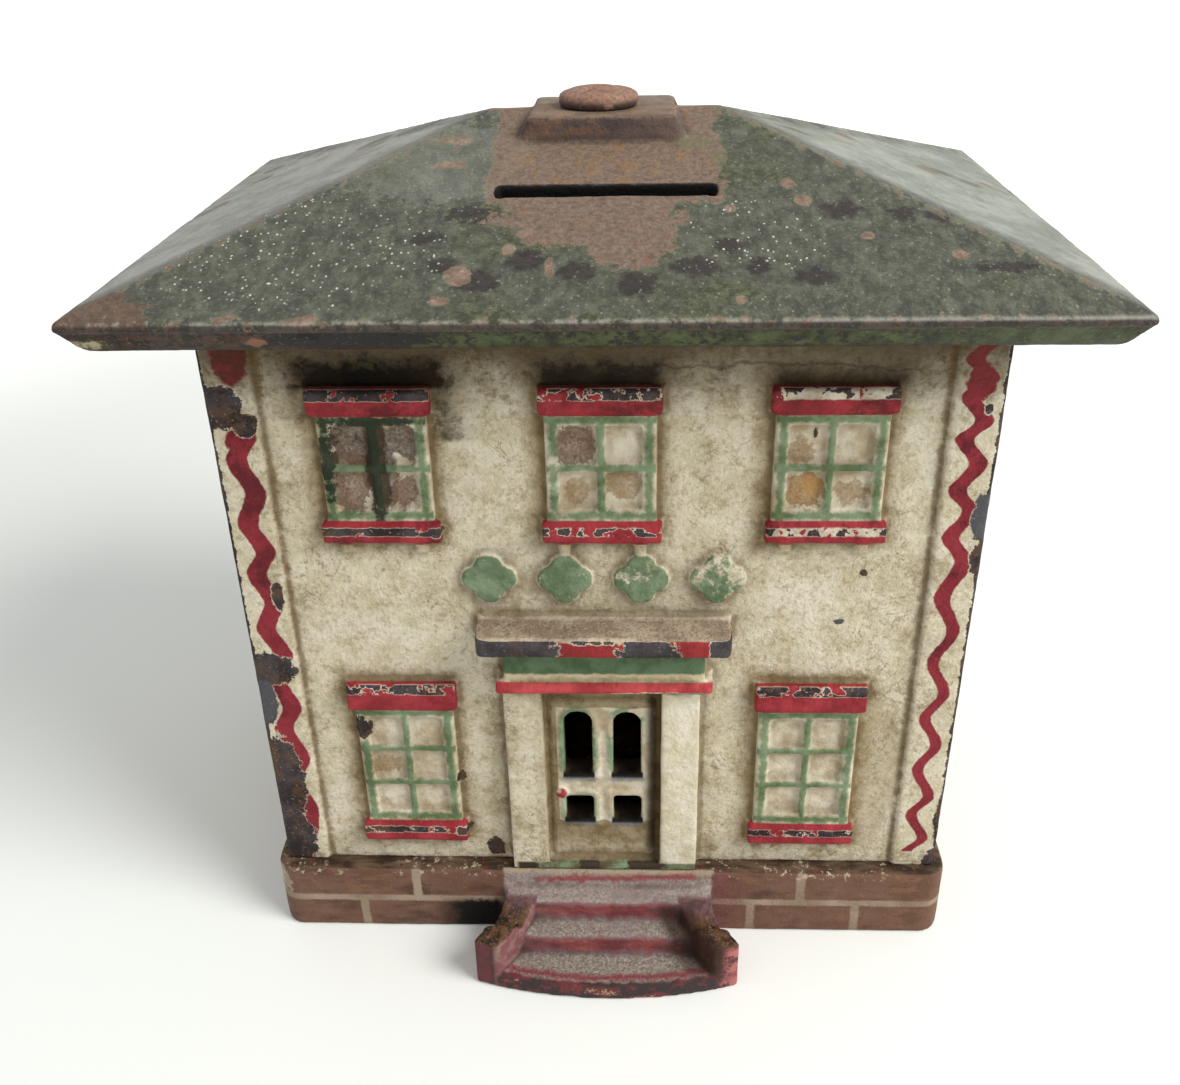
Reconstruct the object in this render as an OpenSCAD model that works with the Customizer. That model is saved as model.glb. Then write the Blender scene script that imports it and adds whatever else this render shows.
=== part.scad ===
/* [Walls] */
// Width of the building across the front
wall_w = 89.4; // [82:0.2:98]
// Depth of the building, front face to back face
wall_d = 61.6; // [56:0.2:68]
// Height of the four wall castings
wall_h = 79.6; // [74:0.2:88]
// Thickness of the plain wall between the reliefs
wall_t = 3; // [2.6:0.1:3.4]
// Width of the corner pilasters
pilaster_w = 5.6; // [5:0.1:6.2]
// How far the corner pilasters stand out of the wall
pilaster_raise = 0.6; // [0.4:0.1:1]
// Thickness and depth of the ribs inside the corners
rib_t = 2.2; // [1.8:0.1:2.6]

/* [Plinth and steps] */
// Height of the plinth
plinth_h = 10.9; // [10:0.1:12.5]
// Ledge of the plinth outside the walls
ledge = 1.75; // [1.2:0.05:2.4]
// Thickness of the plinth's sides and top plate
plinth_t = 3; // [2.6:0.1:3.4]
// Radius of the plinth's corners
plinth_corner_r = 3; // [2:0.1:3.4]
// Height of the rim that the walls stand around
rim_h = 2.5; // [2:0.1:3]
// Thickness of that rim
rim_t = 2.2; // [1.8:0.1:2.8]
// Number of treads below the threshold
treads = 3; // [2:1:3]
// Depth of a tread, front to back
tread_d = 3.5; // [3.2:0.1:4]
// How far the bowed front of the steps stands out of the plinth
steps_out = 12.5; // [11.9:0.1:13.5]
// Width of the steps where they leave the plinth
steps_back_w = 28; // [26:0.5:31]
// Width that the flaring sides of the steps would reach at the very front
steps_front_w = 40.6; // [36:0.2:42]
// Radius of the bowed front
steps_bow_r = 59; // [50:1:75]
// Width of the cheek walls beside the treads
cheek_w = 4.3; // [3.8:0.1:4.8]
// How far the posts at the ends of the cheek walls fall towards the front
cheek_fall = 0.9; // [0.5:0.1:1.5]
// Depth of a post, front to back
post_d = 6; // [5:0.1:6.4]
// Depth of the dip between the landing and a post
cheek_dip = 1.6; // [1:0.1:2]
// How far a riser leans out towards its foot
riser_draft = 0.35; // [0.2:0.05:0.5]

/* [Windows] */
// Width of a sash
sash_w = 12.6; // [11.8:0.1:13.2]
// How far a sash stands out of the wall
sash_out = 1; // [0.7:0.1:1.3]
// Depth of the panes in the sash
pane_depth = 0.8; // [0.5:0.05:0.9]
// Width of a glazing bar
bar_w = 0.9; // [0.7:0.05:1.1]
// Width of the frame round the panes
stile_w = 1.5; // [1.3:0.1:1.8]
// Width of hoods and sills
hood_w = 14; // [13.6:0.1:14.8]
// How far hoods and sills stand out of the wall
hood_out = 1.75; // [1.5:0.05:2.2]
// Chamfer along the edges of hoods and sills
hood_edge = 0.45; // [0.3:0.05:0.6]
// Height of the lower sills above the plinth
low_z = 4.4; // [3.8:0.1:5]
// Height of a lower sill
low_sill_h = 3.3; // [2.8:0.1:3.6]
// Height of a lower sash
low_sash_h = 18.8; // [17.6:0.2:20]
// Height of a lower hood
low_hood_h = 4; // [3.4:0.1:4.4]
// Rows of panes in a lower sash
low_rows = 3; // [2:1:4]
// Height of the upper sills above the plinth
high_z = 51; // [49:0.2:53]
// Height of an upper sill
high_sill_h = 2.8; // [2.4:0.1:3.2]
// Height of an upper sash
high_sash_h = 13.6; // [12.6:0.2:14.6]
// Height of an upper hood
high_hood_h = 3.2; // [2.8:0.1:3.6]
// Rows of panes in an upper sash
high_rows = 2; // [2:1:3]
// Height of the corbels under a sill
corbel_h = 1.5; // [1.2:0.1:1.8]
// Width of a corbel
corbel_w = 1.8; // [1.4:0.1:2.2]

/* [Portico] */
// Width of the canopy
canopy_w = 31.2; // [29:0.2:33]
// Radius of the canopy's front corners
canopy_corner_r = 1.5; // [1:0.1:2.2]
// Thickness of the canopy
canopy_t = 3.1; // [2.8:0.1:3.5]
// How far the canopy stands out of the wall
canopy_out = 5.5; // [4.8:0.1:6]
// Height of the canopy's underside above the plinth
canopy_z = 37.3; // [36.5:0.1:38.5]
// Width of the frieze under the canopy
frieze_w = 25; // [24.6:0.2:27]
// Height of the frieze
frieze_h = 5; // [4.4:0.1:5.4]
// How far the frieze stands out of the wall
frieze_out = 2.9; // [2.6:0.1:3.2]
// Height of the moulding under the frieze
moulding_h = 1.9; // [1.6:0.1:2.2]
// How far the moulding stands out of the frieze
moulding_out = 0.8; // [0.5:0.1:1]
// How far the moulding runs past the frieze at each end
moulding_run = 1; // [0.6:0.1:1.4]
// Width of a door pilaster
post_w = 4.9; // [4.6:0.1:5.2]
// How far the door pilasters stand out of the wall
post_out = 2.1; // [1.8:0.1:2.4]
// Distance of the door from the middle, to the left
door_x = 0.4; // [0:0.1:0.6]
// Width of the door leaf
door_w = 13.2; // [12.8:0.1:13.8]
// How far the door leaf stands out of the wall
door_out = 0.5; // [0.4:0.1:0.8]
// Height of the threshold
threshold_h = 1.1; // [0.8:0.1:1.4]
// Distance between the middles of the two rows of lights
light_pitch = 6.4; // [6:0.1:6.8]
// Width of a door light
light_w = 3.7; // [3.4:0.1:4]
// Height of an arched light
arch_h = 10.3; // [9.6:0.1:11]
// Height of an arched light's foot above the plinth
arch_z = 15.7; // [15:0.1:16.4]
// Height of a square light
square_h = 4.1; // [3.6:0.1:4.4]
// Height of a square light's foot above the plinth
square_z = 7.9; // [7.2:0.1:8.6]
// Width of the raised edge round a light
light_edge = 0.7; // [0.5:0.05:0.9]
// Radius of the door knob
knob_r = 1; // [0.8:0.05:1.1]
// Height of the door knob above the plinth
knob_z = 12.7; // [12:0.1:14]
// Distance between the four ornaments over the canopy
ornament_pitch = 9.2; // [8.6:0.1:9.6]
// Radius of a petal of an ornament
petal_r = 1.75; // [1.5:0.05:1.9]
// How far the ornaments stand out of the wall
ornament_out = 0.8; // [0.6:0.1:1]

/* [Roof] */
// Overhang of the eaves outside the walls
overhang = 10.5; // [9:0.1:12]
// Slope of the roof, in degrees
roof_slope = 18.4; // [16.5:0.1:20]
// Thickness of the roof casting
roof_t = 3; // [2.6:0.1:3.2]
// Height of the eave's upper edge above the walls
eave_rise = 2; // [1.8:0.1:2.3]
// Height of the eave from the upper edge down
fascia_h = 3.8; // [3.4:0.1:4.2]
// Radius of the bead along the eave
bead_r = 0.6; // [0.5:0.05:0.7]
// How far the band under the bead stands back
band_back = 0.4; // [0.3:0.1:0.6]
// How much further back its foot stands
band_lean = 1.3; // [1:0.1:1.5]
// Width of the seat that rests on the walls, outside them
seat_w = 1.2; // [0.8:0.1:1.8]
// Depth of the lip inside the walls
lip_h = 3; // [2.5:0.1:3.5]
// Thickness of the lip
lip_t = 2; // [1.8:0.1:2.4]
// Length of the coin slot
slot_l = 25; // [23:0.2:27]
// Distance of the coin slot from the middle, to the right
slot_x = 0.6; // [0:0.1:1]
// Width of the coin slot
slot_w = 2.35; // [2.2:0.05:2.8]
// Distance of the coin slot in front of the ridge
slot_y = 18.4; // [17:0.2:20]
// Width of the platform's top
platform_w = 17.4; // [16:0.2:19]
// Depth of the platform
platform_d = 16; // [14.6:0.2:17]
// How far each end of the platform leans out between its top and its foot in front
platform_draft = 1.3; // [0.8:0.1:1.8]
// Diameter of the boss under the platform
roof_boss_d = 11; // [10:0.2:12.5]
// Height of that boss below the platform's top
roof_boss_h = 7; // [6:0.2:8]

/* [Screw] */
// Diameter of the screw's shank
screw_d = 4.8; // [4.4:0.1:5.2]
// Distance of the screw from the middle, to the left
screw_x = 0.6; // [0:0.1:1]
// Diameter of the screw's head
head_d = 9.8; // [9:0.1:10.6]
// Height of the side of the head
head_side = 1.2; // [1:0.1:1.5]
// Height of the head
head_h = 2.35; // [2.1:0.05:2.6]
// Width of the driver slot
driver_w = 1.2; // [1:0.1:1.4]
// Depth of the driver slot
driver_h = 0.6; // [0.4:0.05:0.8]
// Height of the screw's tip above the floor
tip_z = 2.6; // [2.2:0.1:3]
// Diameter of the tapped boss in the plinth
boss_d = 12; // [11:0.2:13]
// Height of the tapped boss's foot above the floor
boss_z = 1.5; // [1:0.1:2]

/* [Clearances] */
// Gap between castings that locate each other
seat_gap = 0.3; // [0.2:0.05:0.4]
// Gap between the ribs of the walls and the rim or lip at their ends
rib_gap = 0.6; // [0.4:0.1:0.8]
// Radial clearance of the screw in the roof
roof_hole_gap = 0.3; // [0.2:0.05:0.4]
// Radial clearance of the screw in the tapped boss
boss_gap = 0.08; // [0.05:0.01:0.1]

/* [Hidden] */

cut = 1;  // how far a cutting shape runs past what it cuts

// Walls: thickness at the pilasters, clear space inside, and three equal bays across the front.
wall_skin = wall_t + pilaster_raise;
inside_w = wall_w - 2 * wall_skin;
inside_d = wall_d - 2 * wall_skin;
wall_top = plinth_h + wall_h;
front_bay = (wall_w - 2 * pilaster_w) / 3;
side_bay = (wall_d - 2 * pilaster_w) / 2;

// Plinth and steps, measured from the middle of the building.
plinth_w = wall_w + 2 * ledge;
plinth_d = wall_d + 2 * ledge;
rise = plinth_h / (treads + 1);
steps_y = -plinth_d / 2 - steps_out;
side_facets = 8;  // flats along each curving side of the steps
landing_z = plinth_h - rise;

// Roof: the eaves, the ridge and the inside of the shell.
eave_w = wall_w + 2 * overhang;
eave_d = wall_d + 2 * overhang;
eave_z = wall_top + eave_rise;
eave_foot_z = eave_z - fascia_h;
ridge_z = eave_z + eave_d / 2 * tan(roof_slope);
roof_drop = roof_t / cos(roof_slope);
lip_z = wall_top - lip_h;
foot_edge = 0.7;  // chamfer along the foot of the band
slot_reach = 2 * roof_t;  // how far the coin slot is cut above and below the roof's slope

// Screw: taper of its tip and chamfer under its head.
tip_w = 0.6;
tip_h = 0.8;
head_edge = 0.3;

// Portico: heights above the plinth and the width between the door pilasters.
canopy_top = canopy_z + canopy_t;
frieze_z = canopy_z - frieze_h;
moulding_z = frieze_z - moulding_h;
post_x = frieze_w / 2 - post_w / 2;

// The origin lies midway between the front of the steps and the back eave.
building_y = (-steps_y - eave_d / 2) / 2;

// A block centred in plan, with its foot at z.
module block(w, d, h, z = 0) translate([-w / 2, -d / 2, z]) cube([w, d, h]);

// A rectangular frame centred in plan, t thick inwards.
module frame(w, d, h, t, z) difference() {
  block(w, d, h, z);
  block(w - 2 * t, d - 2 * t, h + 2 * cut, z - cut);
}

// A rectangle with round corners, centred.
module rounded(w, d, r) {
  square([w - 2 * r, d], center = true);
  square([w, d - 2 * r], center = true);
  for (x = [-1, 1], y = [-1, 1])
    translate([x * (w / 2 - r), y * (d / 2 - r)]) circle(r = r, $fn = 48);
}

// Stretches a side outline, drawn as [y, z], along X.
module along_x(length) rotate([90, 0, 90]) linear_extrude(length, center = true) children();

// Stretches a front outline, drawn as [x, z], out of the wall's face at y to the depth given.
module out_of_wall(y, depth) translate([0, y, 0]) rotate([90, 0, 0]) linear_extrude(depth) children();

// ---- Plinth ----

// Half the width of the steps at a share of the way from the plinth to their front.
function steps_half(share) = (steps_back_w + share ^ 2 * (steps_front_w - steps_back_w)) / 2;

// Plan of the steps, with curving sides and a bowed front; each side is moved in by inset.
module steps_plan(inset = 0) intersection() {
  back_y = -plinth_d / 2 + plinth_t + cut;
  side = [[steps_half(0) - inset, back_y],
    for (i = [0 : side_facets]) let (share = i / side_facets)
      [steps_half(share) - inset, -plinth_d / 2 - share * steps_out]];
  polygon(concat(side, [for (i = [len(side) - 1 : -1 : 0]) [-side[i][0], side[i][1]]]));
  translate([0, steps_y + steps_bow_r]) circle(r = steps_bow_r, $fn = 180);
}

// Side outline of the treads: level runs and leaning risers, from the landing down to the floor.
module tread_outline() {
  function edge(i) = -plinth_d / 2 - i * tread_d;
  polygon([[-plinth_d / 2 + plinth_t + cut, 0], [-plinth_d / 2 + plinth_t + cut, landing_z],
    for (i = [1 : treads - 1]) each [[edge(i) + riser_draft, plinth_h - i * rise],
      [edge(i), plinth_h - (i + 1) * rise]],
    [steps_y, plinth_h - treads * rise], [steps_y, 0]]);
}

// Side outline of a cheek wall, which dips behind the post at its front end.
module cheek_outline() polygon([[-plinth_d / 2, 0], [-plinth_d / 2, landing_z],
  [-plinth_d / 2 - tread_d / 2, landing_z], [steps_y + post_d, landing_z - cheek_dip],
  [steps_y + post_d - cheek_dip / 2, landing_z], [steps_y, landing_z - cheek_fall], [steps_y, 0]]);

module steps() {
  intersection() {
    linear_extrude(plinth_h) steps_plan();
    along_x(steps_front_w) tread_outline();
  }
  intersection() {
    linear_extrude(plinth_h) difference() {
      steps_plan();
      steps_plan(inset = cheek_w);
    }
    along_x(steps_front_w) cheek_outline();
  }
}

// The space under the treads, which follows them one thickness below.
module steps_hollow() intersection() {
  translate([0, 0, -cut]) linear_extrude(plinth_h) steps_plan(inset = plinth_t);
  translate([0, plinth_t, -plinth_t]) along_x(steps_front_w) tread_outline();
  block(steps_front_w, 2 * steps_out + plinth_d, plinth_h + cut, -cut);
}

module plinth() color("sienna") translate([0, building_y, 0]) difference() {
  union() {
    difference() {
      union() {
        linear_extrude(plinth_h) rounded(plinth_w, plinth_d, plinth_corner_r);
        steps();
      }
      block(plinth_w - 2 * plinth_t, plinth_d - 2 * plinth_t, plinth_h - plinth_t + cut, -cut);
      steps_hollow();
    }
    frame(inside_w - 2 * seat_gap, inside_d - 2 * seat_gap, rim_h + cut, rim_t, plinth_h - cut);
    translate([-screw_x, 0, boss_z]) cylinder(d = boss_d, h = plinth_h + rim_h - boss_z, $fn = 72);
  }
  translate([-screw_x, 0, -cut]) cylinder(d = screw_d + 2 * boss_gap, h = plinth_h + rim_h + 2 * cut, $fn = 72);
}

// ---- Walls ----
// A wall is drawn with its outer face at y = 0 looking along -Y, and its foot at z = 0.

// A plain panel with a pilaster at each end.
module panel(w, end_w) {
  translate([-w / 2, pilaster_raise, 0]) cube([w, wall_t, wall_h]);
  for (x = [-1, 1])
    translate([x * (w - end_w) / 2 - end_w / 2, 0, 0]) cube([end_w, wall_skin, wall_h]);
}

// A hood or sill: a bar with chamfered edges.
module bar(h, z) along_x(hood_w) translate([pilaster_raise, z])
  polygon([[cut, 0], [-hood_out + hood_edge, 0], [-hood_out, hood_edge],
    [-hood_out, h - hood_edge], [-hood_out + hood_edge, h], [cut, h]]);

// A blind window: sill on two corbels, sash of two columns of panes, and hood.
module window(sill_h, sash_h, hood_h, rows) {
  pane_w = (sash_w - 2 * stile_w - bar_w) / 2;
  pane_h = (sash_h - 2 * stile_w - (rows - 1) * bar_w) / rows;
  for (x = [-1, 1]) translate([x * (sash_w - 2 * corbel_w) / 2, 0, -corbel_h])
    out_of_wall(pilaster_raise + cut, cut + sash_out)
      polygon([[-corbel_w / 2, corbel_h + cut], [-corbel_w / 3, 0], [corbel_w / 3, 0],
        [corbel_w / 2, corbel_h + cut]]);
  bar(sill_h, 0);
  difference() {
    translate([-sash_w / 2, pilaster_raise - sash_out, sill_h - cut])
      cube([sash_w, sash_out + cut, sash_h + 2 * cut]);
    for (x = [-1, 1], row = [0 : rows - 1])
      translate([x * (pane_w + bar_w) / 2 - pane_w / 2, pilaster_raise - sash_out - cut,
        sill_h + stile_w + row * (pane_h + bar_w)])
        cube([pane_w, pane_depth + cut, pane_h]);
  }
  bar(hood_h, sill_h + sash_h);
}

module low_window(x) translate([x, 0, low_z]) window(low_sill_h, low_sash_h, low_hood_h, low_rows);

module high_window(x) translate([x, 0, high_z]) window(high_sill_h, high_sash_h, high_hood_h, high_rows);

// Ribs inside the ends of the front and back walls, which hold the side walls in place.
module corner_ribs() for (x = [-1, 1])
  translate([x * (inside_w / 2 - seat_gap - rib_t / 2) - rib_t / 2, wall_skin - cut, rim_h + rib_gap])
    cube([rib_t, rib_t + cut, wall_h - rim_h - lip_h - 2 * rib_gap]);

// Outlines of the door's lights, grown by edge on every side.
module light_outlines(edge = 0) for (x = [-1, 1]) translate([x * light_pitch / 2, 0]) {
  translate([-light_w / 2 - edge, arch_z - edge]) square([light_w + 2 * edge, arch_h - light_w / 2 + edge]);
  translate([0, arch_z + arch_h - light_w / 2]) circle(d = light_w + 2 * edge, $fn = 48);
  translate([-light_w / 2 - edge, square_z - edge]) square([light_w + 2 * edge, square_h + 2 * edge]);
}

// The canopy slab, with round front corners and a chamfered nose.
module canopy() intersection() {
  translate([0, pilaster_raise, canopy_z]) linear_extrude(canopy_t)
    rounded(canopy_w, 2 * canopy_out, canopy_corner_r);
  along_x(canopy_w) translate([pilaster_raise, canopy_z])
    polygon([[cut, 0], [-canopy_out + hood_edge, 0], [-canopy_out, hood_edge],
      [-canopy_out, canopy_t - 2 * hood_edge], [-canopy_out + hood_edge, canopy_t - hood_edge],
      [0, canopy_t], [cut, canopy_t]]);
}

module portico() {
  canopy();
  translate([-frieze_w / 2, pilaster_raise - frieze_out, moulding_z])
    cube([frieze_w, frieze_out + cut, canopy_z - moulding_z + cut]);
  along_x(frieze_w + 2 * moulding_run) translate([pilaster_raise, moulding_z])
    polygon([[cut, 0], [-frieze_out, 0], [-frieze_out - moulding_out, moulding_h / 3],
      [-frieze_out - moulding_out, moulding_h * 2 / 3], [-frieze_out, moulding_h], [cut, moulding_h]]);
  translate([-door_x, 0, 0]) doorway();
}

// The door leaf with its knob, between two pilasters on a threshold.
module doorway() {
  for (x = [-1, 1]) translate([x * post_x - post_w / 2, pilaster_raise - post_out, 0])
    cube([post_w, post_out + cut, moulding_z + cut]);
  translate([-post_x, pilaster_raise - post_out, 0]) cube([2 * post_x, post_out + cut, threshold_h]);
  translate([-door_w / 2, pilaster_raise - door_out, 0])
    cube([door_w, door_out + cut, arch_z + arch_h + 2 * light_edge]);
  out_of_wall(pilaster_raise + cut, cut + door_out + light_edge / 2) light_outlines(light_edge);
  translate([-door_w / 2 + knob_r, pilaster_raise - door_out, knob_z]) sphere(r = knob_r, $fn = 32);
}

// A flower of four round petals that overlap a little in its middle.
module ornament() out_of_wall(pilaster_raise + cut, cut + ornament_out) {
  petal_x = 0.9 * petal_r;
  for (turn = [0 : 90 : 270]) rotate(turn) translate([petal_x, 0]) circle(r = petal_r, $fn = 32);
  square(2 * petal_x, center = true);
}

module front_wall() color("cornsilk") translate([0, building_y - wall_d / 2, plinth_h]) {
  difference() {
    union() {
      panel(wall_w, pilaster_w);
      portico();
    }
    translate([-door_x, 0, 0]) out_of_wall(wall_skin + cut, wall_skin + door_out + 2 * cut) light_outlines();
  }
  corner_ribs();
  for (x = [-1, 0, 1]) high_window(x * front_bay);
  for (x = [-1, 1]) low_window(x * front_bay);
  for (i = [0 : 3]) translate([(i - 1.5) * ornament_pitch, 0, canopy_top + (high_z - canopy_top) / 2])
    ornament();
}

module back_wall() color("wheat") translate([0, building_y + wall_d / 2, plinth_h]) rotate(180) {
  panel(wall_w, pilaster_w);
  corner_ribs();
  for (x = [-1, 0, 1]) {
    high_window(x * front_bay);
    low_window(x * front_bay);
  }
}

// A side wall stands between the front and back walls; side is -1 for the left and 1 for the right.
module side_wall(side) translate([side * wall_w / 2, building_y, plinth_h]) rotate(side * 90) {
  panel(inside_d, pilaster_w - wall_skin);
  for (x = [-1, 1]) {
    high_window(x * side_bay / 2);
    low_window(x * side_bay / 2);
  }
}

module left_wall() color("burlywood") side_wall(-1);

module right_wall() color("tan") side_wall(1);

// ---- Roof ----

// Outline of the roof across one direction: band, bead and slope, for eaves half apart from the middle.
module roof_outline(half) {
  bead_z = eave_z - bead_r;
  foot = half - band_back - band_lean;
  right = [[foot - foot_edge, eave_foot_z], [foot, eave_foot_z + foot_edge],
    [half - band_back, bead_z - bead_r],
    for (a = [-60 : 20 : 90 - roof_slope / 2]) [half - bead_r + bead_r * cos(a), bead_z + bead_r * sin(a)],
    [0, eave_z + half * tan(roof_slope)]];
  polygon(concat(right, [for (i = [len(right) - 2 : -1 : 0]) [-right[i][0], right[i][1]]]));
}

// Outline of the hollow inside it.
module hollow_outline(half) {
  inner = half - roof_t - band_lean;
  top = eave_z - roof_drop;
  polygon([[-inner, eave_foot_z - cut], [inner, eave_foot_z - cut], [inner, top + (half - inner) * tan(roof_slope)],
    [0, top + half * tan(roof_slope)], [-inner, top + (half - inner) * tan(roof_slope)]]);
}

// A hipped solid: one outline runs along each way, and the two prisms meet at the hips.
module hipped() intersection() {
  along_x(eave_w + cut) children(0);
  rotate(90) along_x(eave_d + cut) children(1);
}

module roof_solid() hipped() {
  roof_outline(eave_d / 2);
  roof_outline(eave_w / 2);
}

module roof_hollow() hipped() {
  hollow_outline(eave_d / 2);
  hollow_outline(eave_w / 2);
}

// Raised platform, with upright front and back and leaning ends.
module platform() {
  shown_h = platform_d / 2 * tan(roof_slope);
  h = shown_h + roof_t / 2;
  foot_w = platform_w + 2 * platform_draft * h / shown_h;
  rotate([90, 0, 0]) linear_extrude(platform_d, center = true) translate([0, ridge_z])
    polygon([[-platform_w / 2, 0], [platform_w / 2, 0], [foot_w / 2, -h], [-foot_w / 2, -h]]);
}

// Seat on the wall tops, lip inside the walls and boss round the screw.
module roof_fittings() intersection() {
  union() {
    frame(wall_w + 2 * seat_w, wall_d + 2 * seat_w, ridge_z - wall_top, seat_w + wall_skin + seat_gap + lip_t,
      wall_top);
    frame(inside_w - 2 * seat_gap, inside_d - 2 * seat_gap, lip_h + cut, lip_t, lip_z);
    translate([-screw_x, 0, ridge_z - roof_boss_h]) cylinder(d = roof_boss_d, h = roof_boss_h, $fn = 72);
  }
  union() {
    roof_solid();
    block(inside_w, inside_d, lip_h + cut, lip_z);
  }
}

module roof() color("darkolivegreen") translate([0, building_y, 0]) difference() {
  union() {
    difference() {
      union() {
        roof_solid();
        platform();
      }
      roof_hollow();
    }
    roof_fittings();
  }
  translate([-screw_x, 0, ridge_z - roof_boss_h - cut])
    cylinder(d = screw_d + 2 * roof_hole_gap, h = roof_boss_h + 2 * cut, $fn = 72);
  translate([slot_x, -slot_y, ridge_z - slot_y * tan(roof_slope)]) rotate([roof_slope, 0, 0])
    block(slot_l, slot_w, 2 * slot_reach, -slot_reach);
}

// ---- Screw ----

// The screw runs through the platform into the tapped boss.
module roof_screw() color("rosybrown") translate([-screw_x, building_y, 0]) difference() {
  rotate_extrude($fn = 96) polygon([[0, tip_z], [screw_d / 2 - tip_w, tip_z], [screw_d / 2, tip_z + tip_h],
    [screw_d / 2, ridge_z], [head_d / 2 - head_edge, ridge_z], [head_d / 2, ridge_z + head_edge],
    for (a = [0 : 10 : 90]) [head_d / 2 * cos(a), ridge_z + head_side + (head_h - head_side) * sin(a)]]);
  translate([0, 0, ridge_z + head_h - driver_h]) rotate(55) block(head_d + cut, driver_w, driver_h + cut);
}

plinth();
front_wall();
back_wall();
left_wall();
right_wall();
roof();
roof_screw();
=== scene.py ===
import math
import operator
from functools import reduce

import bmesh
import bpy
import numpy as np
from mathutils import Matrix, Vector


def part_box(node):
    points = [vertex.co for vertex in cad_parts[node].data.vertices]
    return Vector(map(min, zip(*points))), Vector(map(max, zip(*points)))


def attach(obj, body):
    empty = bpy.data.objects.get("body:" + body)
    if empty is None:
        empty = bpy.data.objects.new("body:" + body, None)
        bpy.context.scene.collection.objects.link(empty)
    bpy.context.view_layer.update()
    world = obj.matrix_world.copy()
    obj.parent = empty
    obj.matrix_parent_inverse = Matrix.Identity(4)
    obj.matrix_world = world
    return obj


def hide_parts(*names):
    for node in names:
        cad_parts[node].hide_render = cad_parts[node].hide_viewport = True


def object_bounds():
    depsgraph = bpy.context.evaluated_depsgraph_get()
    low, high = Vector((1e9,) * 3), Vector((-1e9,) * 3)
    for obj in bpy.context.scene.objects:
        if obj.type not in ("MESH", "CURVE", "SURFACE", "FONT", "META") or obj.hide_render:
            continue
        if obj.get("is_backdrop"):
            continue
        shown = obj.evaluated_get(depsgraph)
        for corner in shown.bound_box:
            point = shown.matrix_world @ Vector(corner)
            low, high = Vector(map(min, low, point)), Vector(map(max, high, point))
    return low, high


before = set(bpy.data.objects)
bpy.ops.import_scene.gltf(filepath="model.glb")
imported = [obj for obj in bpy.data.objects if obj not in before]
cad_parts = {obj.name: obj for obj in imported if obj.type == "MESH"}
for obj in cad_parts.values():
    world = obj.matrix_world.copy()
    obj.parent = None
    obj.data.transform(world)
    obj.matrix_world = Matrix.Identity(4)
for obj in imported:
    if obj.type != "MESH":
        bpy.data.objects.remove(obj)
solid_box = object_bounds()

# ---- View ----
# The bank stands on a table and is seen from a hand's width in front of its steps and a little
# above its roof. The lens is wide, so the roof spreads and the walls narrow towards the floor.
scene = bpy.context.scene
scene.view_settings.view_transform = "Standard"
view_place = (0.00453, -0.15346, 0.13035)
view_turn, view_fall, view_lean = 2.75, 28.84, 1.3
view_lens = 36.57
lens = bpy.data.cameras.new("camera")
lens.lens = view_lens
lens.clip_start = 0.01
camera = bpy.data.objects.new("camera", lens)
camera.matrix_world = (
    Matrix.Translation(view_place)
    @ Matrix.Rotation(math.radians(view_turn), 4, "Z")
    @ Matrix.Rotation(math.radians(-view_fall), 4, "X")
    @ Matrix.Rotation(math.radians(view_lean), 4, "Y")
    @ Matrix.Rotation(math.radians(90), 4, "X")
)
scene.collection.objects.link(camera)
scene.camera = camera

# ---- Table and light ----
# A plain white table top runs back without an edge. Soft daylight comes from a large window on the
# right, and the white room fills the shadows: it looks fully white to the camera and in
# reflections, and lights the rest less.
table_size = 6
window_size = 0.55
window_power = 8.5
window_place = (0.64, -0.34, 0.66)
room_level = 0.58


class Tone:
    """One value on a surface. Arithmetic on tones adds Math nodes; | is the larger of two and & the
    smaller."""

    def __init__(self, wiring, socket):
        self.wiring = wiring
        self.socket = socket

    def math(self, operation, *values):
        return self.wiring.node("ShaderNodeMath", {"operation": operation}, dict(enumerate(values)))

    def __add__(self, other):
        return self.math("ADD", self, other)

    def __sub__(self, other):
        return self.math("SUBTRACT", self, other)

    def __rsub__(self, other):
        return self.math("SUBTRACT", other, self)

    def __mul__(self, other):
        return self.math("MULTIPLY", self, other)

    def __or__(self, other):
        return self.math("MAXIMUM", self, other)

    def __and__(self, other):
        return self.math("MINIMUM", self, other)

    def __abs__(self):
        return self.math("ABSOLUTE", self)

    __radd__ = __add__
    __rmul__ = __mul__

    def rise(self, low, high):
        """0 below low, 1 above high and smooth between them; it falls where low is the larger."""
        return self.wiring.node(
            "ShaderNodeMapRange",
            {"interpolation_type": "SMOOTHSTEP"},
            {"Value": self, "From Min": low, "From Max": high},
        )

    def near(self, middle, half, soft=0.15):
        """1 within half of middle, 0 further off."""
        return abs(self - middle).rise(half + soft, half - soft)

    def repeated(self, pitch, start=0.0):
        """Distance from the nearest of the marks that stand at start and every pitch from it."""
        return self.math("WRAP", self - start, pitch / 2, -pitch / 2)

    def mix(self, under, over):
        """Where this tone is 0 the colour under shows, and where it is 1 the colour over."""
        # A Mix node has sockets for each kind of value: 6 and 7 take colours, and 2 gives one.
        values = {0: self, 6: under, 7: over}
        return self.wiring.node("ShaderNodeMix", {"data_type": "RGBA"}, values, 2)

    def between(self, start, end):
        """A number that goes from start to end as this tone goes from 0 to 1."""
        return self * (end - start) + start


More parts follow.
